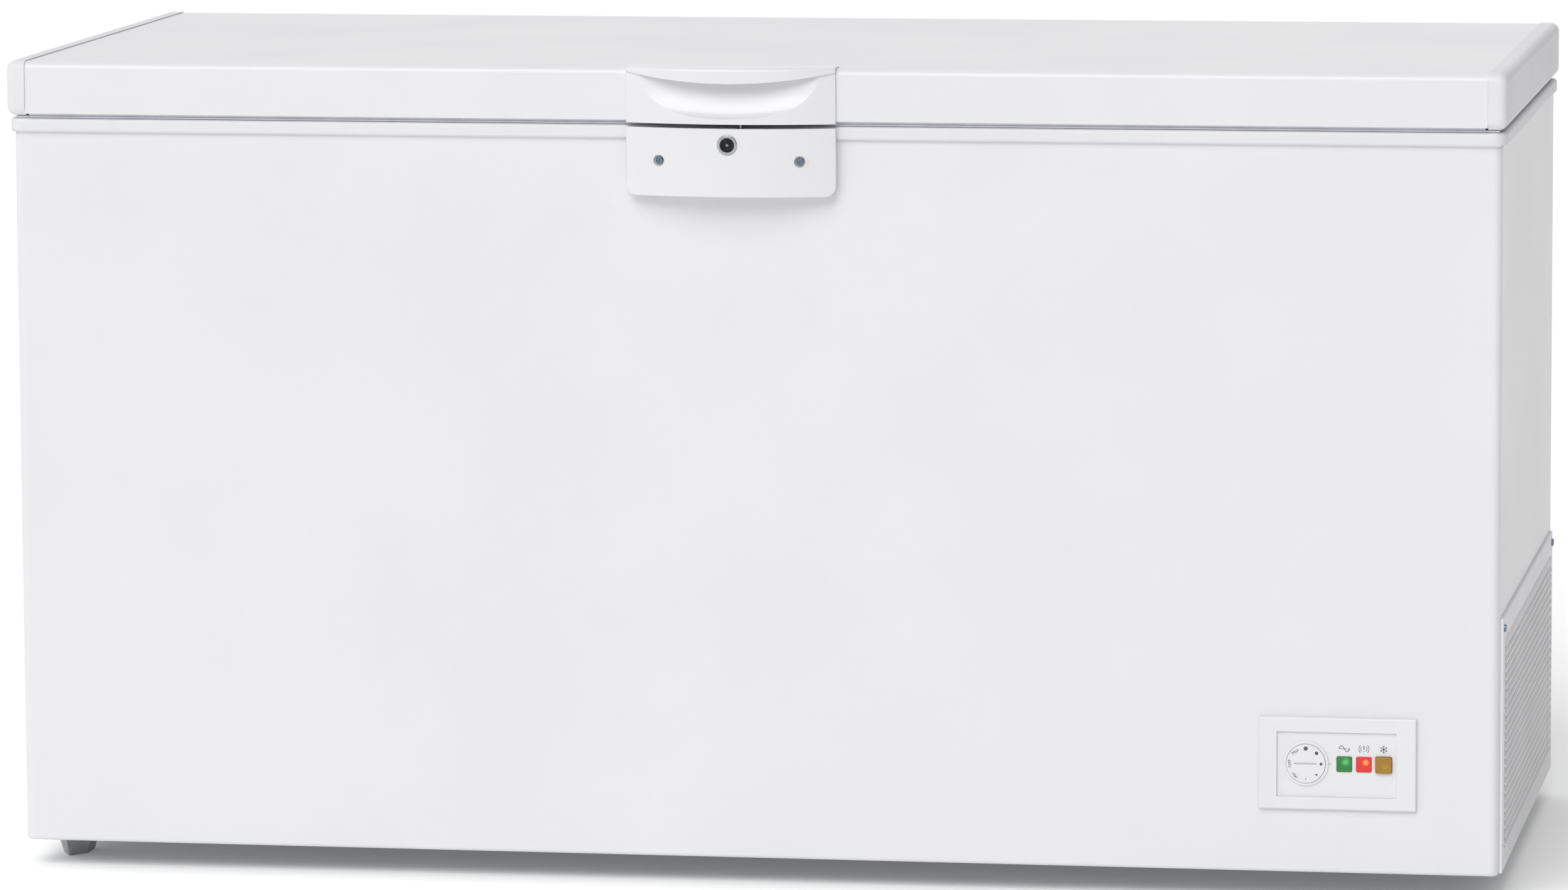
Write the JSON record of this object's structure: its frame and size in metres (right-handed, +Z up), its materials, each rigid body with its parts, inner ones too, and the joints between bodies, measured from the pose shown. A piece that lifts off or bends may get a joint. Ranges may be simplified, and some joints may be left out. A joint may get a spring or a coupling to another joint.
{
  "type": "chest freezer",
  "caption": "Long white chest freezer with a hinged insulated lid, bowed scoop handle over a key lock, a control panel low on the front and a louvred compressor grille at one end.",
  "frame": {"origin": "on the floor, under the middle of the whole object", "axes": "+Z up, +X to the right as seen from the front, -Y towards the front with the handle"},
  "size_m": [1.555, 0.725, 0.848],
  "materials": {
    "white_paint": "gloss",
    "galvanised_steel": "satin",
    "foam": "matte",
    "liner_enamel": "gloss",
    "liner_plastic": "satin",
    "copper_tube": "satin",
    "aluminium_tube": "satin",
    "white_plastic": "gloss",
    "satin_plastic": "satin",
    "grey_plastic": "matte",
    "black_plastic": "matte",
    "zinc_steel": "satin",
    "chrome": "polished",
    "green_lens": "gloss",
    "red_lens": "gloss",
    "amber_lens": "gloss",
    "compressor_black": "satin",
    "rubber": "matte",
    "gasket_vinyl": "satin",
    "spring_steel": "satin",
    "lamp_glass": "gloss",
    "basket_wire": "gloss"
  },
  "bodies": {
    "cabinet": {"base_pan": "galvanised_steel", "collar_frame": "white_plastic", "compressor": "compressor_black", "compressor_mounts": "rubber", "compressor_tray": "galvanised_steel", "condenser_coil": "copper_tube", "control_bezel": "satin_plastic", "control_plate": "satin_plastic", "cord_gland": "rubber", "drain_tube": "satin_plastic", "evaporator_coil": "aluminium_tube", "feet": "grey_plastic", "filter_drier": "copper_tube", "green_lamp_lens": "green_lens", "grille_screws": "zinc_steel", "hinge_cabinet_leaves": "galvanised_steel", "hinge_cabinet_screws": "zinc_steel", "hinge_pins": "zinc_steel", "hinge_springs": "spring_steel", "indicator_housing": "black_plastic", "inner_liner": "liner_enamel", "insulation": "foam", "lock_escutcheon": "chrome", "lock_panel": "white_plastic", "lock_panel_screws": "zinc_steel", "outer_wrapper": "white_paint", "rear_panel": "galvanised_steel", "rear_spacers": "grey_plastic", "red_lamp_lens": "red_lens", "refrigerant_pipes": "copper_tube", "relay_box": "black_plastic", "sensor_tube": "copper_tube", "side_grille": "satin_plastic", "thermostat_body": "black_plastic"},
    "lid": {"lid_sheet": "white_paint", "lid_end_cap_left": "white_plastic", "lid_end_cap_right": "white_plastic", "lid_insulation": "foam", "lid_liner": "liner_plastic", "lid_gasket": "gasket_vinyl", "lamp_base": "satin_plastic", "lamp_bulb": "lamp_glass", "lamp_cover": "lamp_glass", "lid_handle": "white_plastic", "latch_tongue": "galvanised_steel", "hinge_lid_leaves": "galvanised_steel", "hinge_lid_screws": "zinc_steel"},
    "key_lock": {"lock_barrel": "zinc_steel", "lock_cam": "galvanised_steel"},
    "dial": {"thermostat_dial": "satin_plastic"},
    "freeze_button": {"fast_freeze_button": "amber_lens", "button_spring": "spring_steel"},
    "left_basket": {"basket_left": "basket_wire"},
    "right_basket": {"basket_right": "basket_wire"},
    "plug": {"drain_plug": "grey_plastic"}
  },
  "joints": [
    {"name": "lid_hinge", "type": "hinge", "parent": "cabinet", "child": "lid", "pos_m": [0, 0.3572, 0.79], "axis": [-1, 0, 0], "range_deg": [0, 85]},
    {"name": "key_turn", "type": "hinge", "parent": "cabinet", "child": "key_lock", "pos_m": [-0.015, -0.3585, 0.7694], "axis": [0, -1, 0], "range_deg": [0, 90]},
    {"name": "dial_turn", "type": "hinge", "parent": "cabinet", "child": "dial", "pos_m": [0.5758, -0.334, 0.1413], "axis": [0, -1, 0], "range_deg": [-95, 180]},
    {"name": "button_press", "type": "slide", "parent": "cabinet", "child": "freeze_button", "axis": [0, 1, 0], "range_m": [0, 0.002], "stiffness_N_per_m": 600, "springref_m": -0.002, "deforming": ["button_spring"]},
    {"name": "left_basket_slide", "type": "slide", "parent": "cabinet", "child": "left_basket", "axis": [1, 0, 0], "range_m": [0, 0.42]},
    {"name": "right_basket_slide", "type": "slide", "parent": "cabinet", "child": "right_basket", "axis": [-1, 0, 0], "range_m": [0, 0.42]},
    {"name": "plug_pull", "type": "slide", "parent": "cabinet", "child": "plug", "axis": [0, 0, 1], "range_m": [0, 0.06]}
  ]
}
